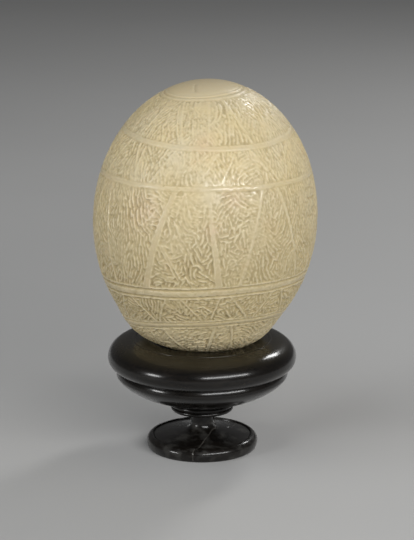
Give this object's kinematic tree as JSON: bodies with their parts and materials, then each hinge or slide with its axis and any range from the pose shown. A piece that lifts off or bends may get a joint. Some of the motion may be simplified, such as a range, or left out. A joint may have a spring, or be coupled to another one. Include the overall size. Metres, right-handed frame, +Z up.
{
  "type": "ostrich egg",
  "caption": "Ostrich egg carved all over with leaf gouges between plain girdles and zigzag straps, resting in a turned black stand with a rolled rim, a waist and a round foot.",
  "frame": {"origin": "middle of the foot's flat underside, on the surface that the stand rests on", "axes": "+Z up along the stand's turning axis, -Y towards the front that the picture shows, +X to its right"},
  "size_m": [0.125, 0.1254, 0.2117],
  "materials": {
    "eggshell": "satin, worn smooth on the ridges",
    "ebony": "polished"
  },
  "bodies": {
    "root": {"ostrich_egg": "eggshell", "stand_dish": "ebony", "stand_foot": "ebony"}
  },
  "joints": []
}
